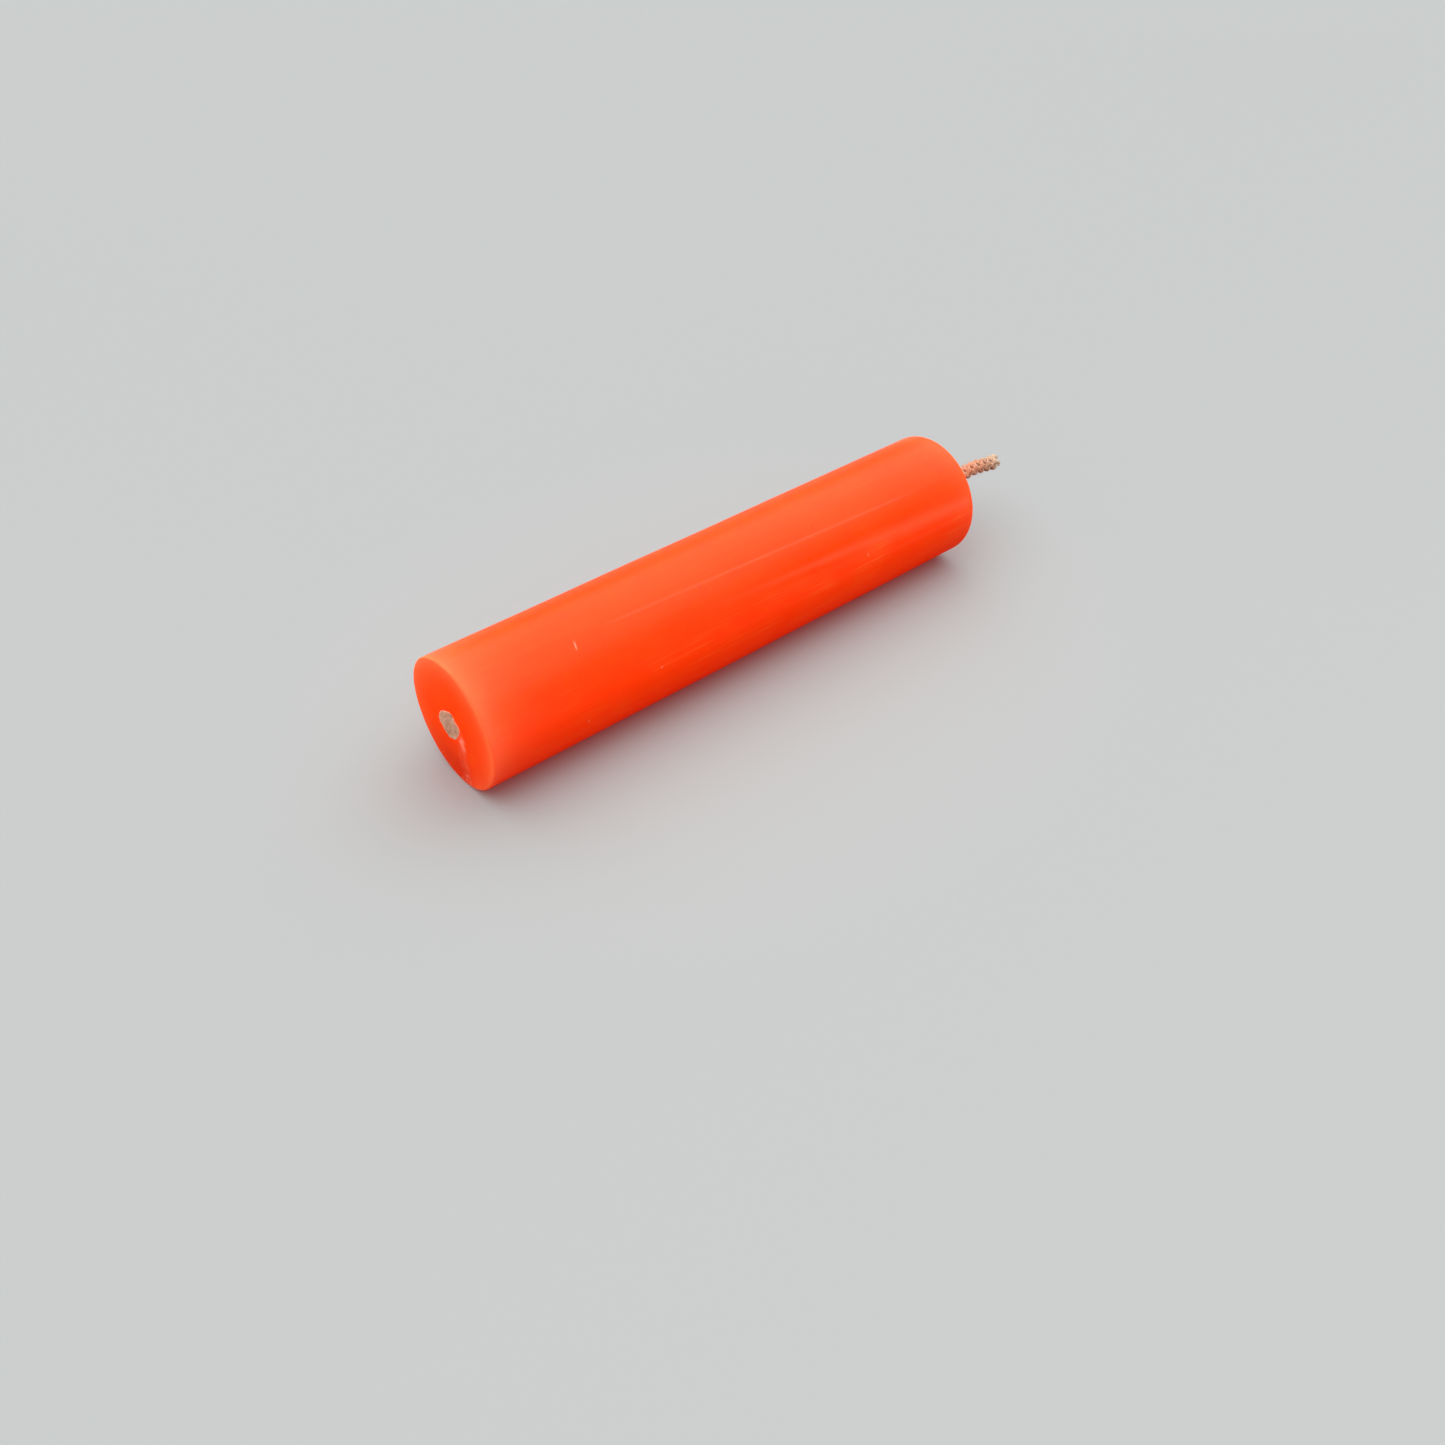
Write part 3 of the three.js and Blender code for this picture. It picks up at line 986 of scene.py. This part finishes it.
def wax_tube(piece, seed, cell_centre, cell_r):
    """One yarn inside the wax, from the spread cut end at the base to just under the top face."""
    top = LENGTH + SPLIT_ROOT
    near_base = [0.10, 0.35, 0.7, 1.1, 1.6, 2.2, 2.9, 3.7, 4.6, 5.5]
    x = np.concatenate([near_base, np.arange(6.4, top - 0.5, 0.9), [top]])
    s = x - LENGTH
    gather = smooth((6.0 - x) / 6.0)[:, None]
    target = np.stack([x, np.full_like(x, cell_centre[0]), np.full_like(x, cell_centre[1])], 1)
    line = yarn_line(seed, s) * (1 - gather) + target * gather
    # near the base the yarn runs straight along x
    straight = smooth((7.0 - x) / 4.0)[:, None]
    heading = unit_rows(np.gradient(line, axis=0))
    heading = unit_rows(heading * (1 - straight) + np.array([1.0, 0, 0]) * straight)
    radius = yarn_radius(seed, s)
    wide = smooth((2.4 - x) / 2.4)
    rings = []
    for i in range(len(x)):
        ring = section(radius[i] * (1 - wide[i]) + cell_r * wide[i])
        rings.append(line[i] + ring @ turn_from_x(heading[i]).T)
    # the cut face, a little rounded and a little out of level
    level = -seed["end"]
    first = rings[0]
    centre = first.mean(0)
    caps = []
    for depth, scale in ((-0.006, 0.35), (-0.003, 0.75), (0.003, 0.97), (0.022, 0.995)):
        ring = centre + (first - centre) * scale
        ring[:, 0] = depth + level
        caps.append(ring)
    first[:, 0] += level * 0.5
    piece.tube(
        np.array(caps + rings),
        np.concatenate([np.full(len(caps), s[0]), s]),
        seed["own"],
        tip_a=np.array([-0.007 + level, centre[1], centre[2]]),
        length=np.concatenate([x[0] - 0.1 * np.arange(len(caps), 0, -1), x]),
    )


def loose_fibres(piece, rng, s, line, heading, radius, count):
    """Fibres that stand off the outside of a yarn."""
    away = line * np.array([0, 1, 1]) - np.stack([0 * s, 0 * s, arch_at(s)], 1)
    distance = np.linalg.norm(away, axis=1)
    outside = np.where((distance > 0.95) & (s > 1.3) & (s < s[-1] - 0.3))[0]
    if not len(outside):
        return
    for k in rng.choice(outside, size=count):
        normal = away[k] / distance[k]
        lean = rng.uniform(-1.0, 1.4)
        direction = normal * rng.uniform(0.25, 0.9) + heading[k] * lean + rng.normal(0, 0.25, 3)
        piece.fibre(
            rng,
            line[k] + normal * radius[k] * 0.6,
            direction,
            length=rng.uniform(0.35, 1.15),
            thick=rng.uniform(0.010, 0.017),
            own=rng.uniform(0.4, 1.0),
            along=s[k],
        )


def cut_end_fibres(piece, rng, point, heading, radius):
    """Fibres that stand out of a yarn's cut end."""
    for _ in range(9):
        off = rng.normal(0, 1, 3) * radius * 0.45
        direction = heading * rng.uniform(0.7, 1.3) + rng.normal(0, 0.35, 3)
        piece.fibre(
            rng,
            point + off - heading * 0.1,
            direction,
            length=rng.uniform(0.30, 0.95),
            thick=rng.uniform(0.012, 0.022),
            own=rng.uniform(0.3, 1.0),
            along=FREE,
            bend=0.6,
        )


def smeared_fibres(piece, rng):
    """Fibres smeared over the cut end at the base by the blade, most of them one way."""
    turns = np.linspace(0, 2 * np.pi, 181)
    edge = patch_radius(turns)

    def in_patch(p):
        rel = p - PATCH_CENTRE
        angle = math.atan2(rel[1], rel[0]) % (2 * np.pi)
        return np.hypot(*rel) < 0.99 * np.interp(angle, turns, edge)

    for _ in range(520):
        while True:
            p = rng.uniform([-2.6, -4.0], [4.6, 2.5])
            lean = rng.normal(-0.95 + 0.5 * math.sin(0.9 * p[1] + 0.4 * p[0]), 0.22)
            direction = np.array([0.0, math.cos(lean), math.sin(lean)])
            length = rng.uniform(0.5, 1.7)
            reach = direction[1:] * length * 0.5
            if in_patch(p) and in_patch(p + reach) and in_patch(p - reach):
                break
        start = np.array([rng.uniform(-0.04, 0.02), p[0], p[1]]) - direction * length * 0.5
        piece.fibre(
            rng,
            start,
            direction,
            length=length,
            thick=rng.uniform(0.016, 0.048),
            own=rng.uniform(0.0, 1.0),
            along=-LENGTH,
            sides=4,
            bend=0.22,
            flat=True,
        )


def wick_in_wax(thread_seeds, centres, cells, core, rng):
    piece = Piece()
    for i, seed in thread_seeds:
        if cells[i] is None:
            reach = np.full(SIDES, 0.2)
        else:
            reach = outline_radius(cells[i], centres[i], SIDE_ANGLES)
        wax_tube(piece, seed, centres[i], np.minimum(reach * 1.07, 1.1))
    if core:
        smeared_fibres(piece, rng)
    return piece


def free_wick(thread_seeds, s_from, s_to, fibres, core, last, rng):
    piece = Piece()
    for _, seed in thread_seeds:
        s, line, heading, radius = free_tube(piece, seed, s_from, s_to, last)
        if not core:
            loose_fibres(piece, rng, s, line, heading, radius, fibres)
        if last:
            cut_end_fibres(piece, rng, line[-1], heading[-1], radius[-1])
    return piece


# free lengths: name, ending of the CAD piece, stations from and to, loose fibres to a yarn,
# the two parts it bends between, stations where the bend starts and ends
FREE_LENGTHS = (
    ("root", "lower", SPLIT_ROOT, SPLIT_LOW, 4, "candle", "wick_lower", 0.35, 2.9),
    ("middle", "middle", SPLIT_LOW, SPLIT_MID, 6, "wick_lower", "wick_middle", 5.4, 9.6),
    ("tip", "tip", SPLIT_MID, FREE, 8, "wick_middle", "wick_tip", 11.9, 16.1),
)


def build_wick():
    base = np.array([-LENGTH])
    centres, cells = base_cells(
        [PATCH_CENTRE + 2.0 * yarn_line(seed, base)[0][1:] for seed in SEEDS]
    )
    rng = np.random.default_rng(41)
    for t, thread in enumerate(THREADS):
        core = thread is None
        label = "cotton_core" if core else f"cotton_strand_{t + 1}"
        cad = "wick_core_thread" if core else f"wick_strand_{t + 1}"
        mine = [(i, seed) for i, seed in enumerate(SEEDS) if seed["thread"] == t]
        ob = wick_in_wax(mine, centres, cells, core, rng).build(f"{label}_in_wax")
        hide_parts(f"{cad}_embedded")
        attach(ob, "candle")
        for name, ending, s_from, s_to, fibres, part_a, part_b, start, end in FREE_LENGTHS:
            piece = free_wick(mine, s_from, s_to, fibres, core, name == "tip", rng)
            ob = piece.build(f"{label}_{name}")
            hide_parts(f"{cad}_{ending}")
            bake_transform(ob)


# ---------------------------------------------------------------- floor, light and camera
def floor():
    """A pale floor to the eye. Light that bounces off it close to the candle is weak and brown,
    as off a wooden board."""
    m = Surface("studio_floor")
    coords = m.coords()
    x, y, _ = m.split(coords)
    tone = m.fit(m.noise(coords, scale=1.1, detail=2, rough=0.5), (0.3, 0.7))
    seen = m.mix(tone, (0.401, 0.417, 0.460), (0.411, 0.427, 0.470))
    # distance in metres from a line under the candle
    beyond_line = m.math("SUBTRACT", m.math("ABSOLUTE", x), 0.06)
    beyond_line = m.math("MAXIMUM", beyond_line, 0.0)
    near = m.math("SQRT", m.add(m.mul(beyond_line, beyond_line), m.mul(y, y)))
    bounced = m.mix(m.fit(near, (0.06, 0.12)), (0.075, 0.050, 0.034), (0.36, 0.36, 0.36))
    material = m.finish({
        "Base Color": m.mix(m.camera_ray(), bounced, seen),
        "Roughness": 0.8,
        "Specular IOR Level": 0.1,
    })
    mesh = bpy.data.meshes.new("studio_floor")
    n, half = 24, 6.0  # squares to a side, half the width in metres
    grid = np.linspace(-half, half, n + 1)
    verts = [(x, y, 0.0) for y in grid for x in grid]
    corners = [j * (n + 1) + i for j in range(n) for i in range(n)]
    faces = [(c, c + 1, c + n + 2, c + n + 1) for c in corners]
    mesh.from_pydata(verts, [], faces)
    mesh.materials.append(material)
    ob = bpy.data.objects.new("studio_floor", mesh)
    ob.location = (0, 0, wax_lo.z - 0.00002)
    bpy.context.scene.collection.objects.link(ob)


def world():
    """A soft sky: a faint even light, a broad bright patch overhead and a weak one towards -x."""
    sky = bpy.data.worlds.new("studio")
    bpy.context.scene.world = sky
    m = Nodes(sky)
    output = m.new("ShaderNodeOutputWorld")
    background = m.new("ShaderNodeBackground")
    coords = m.coords("Generated")

    def facing(direction):
        return m.vector("DOT_PRODUCT", coords, Vector(direction).normalized())["Value"]

    def patch(direction, inner, outer, colour):
        """A round patch of light that fades between two angles from its middle, in degrees."""
        span = (math.cos(math.radians(outer)), math.cos(math.radians(inner)))
        return m.scale(colour, m.fit(facing(direction), span, interpolation="SMOOTHSTEP"))

    key = patch((0.10, 0.10, 0.985), inner=48, outer=61, colour=(1.80, 1.79, 1.60))
    # dimmer on the -y side of a tilted plane through the middle
    key = m.scale(key, m.fit(facing((0, 0.914, 0.407)), (-0.04, 0.04), to=(0.70, 1.0)))
    side_patch = patch((-0.84, -0.30, 0.46), inner=22, outer=58, colour=(0.60, 0.59, 0.50))
    light = m.vector("ADD", key, (0.22, 0.222, 0.215))[0]
    light = m.vector("ADD", side_patch, light)[0]
    seen = m.mix(m.camera_ray(), light, (0.604, 0.624, 0.617))
    m.fill(background, {0: seen, 1: 1.0})
    m.put(output.inputs[0], background.outputs[0])


def camera():
    """Looks down at the candle from the base end and the -y side."""
    cam = bpy.data.cameras.new("photo_view")
    cam.sensor_width = 36.0
    cam.lens = 35.114
    cam.clip_start = 0.01
    cam.clip_end = 50
    ob = bpy.data.objects.new("photo_view", cam)
    right = Vector((0.76612505, -0.64269154, 0.0))
    up = Vector((0.41717685, 0.49729865, 0.76069543))
    back = Vector((-0.48889251, -0.58278782, 0.64910898))
    place = Vector((-0.08169934, -0.16888921, 0.15574780)) + Vector(ORIGIN)
    ob.matrix_world = Matrix((*zip(right, up, back, place), (0, 0, 0, 1)))
    bpy.context.scene.collection.objects.link(ob)
    bpy.context.scene.camera = ob


body = wax_body()
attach(body, "candle")
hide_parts("wax_body")
build_wick()
floor()
world()
camera()
view = bpy.context.scene.view_settings
view.view_transform = "Standard"
view.look = "None"
view.exposure = 0.0
view.gamma = 1.0
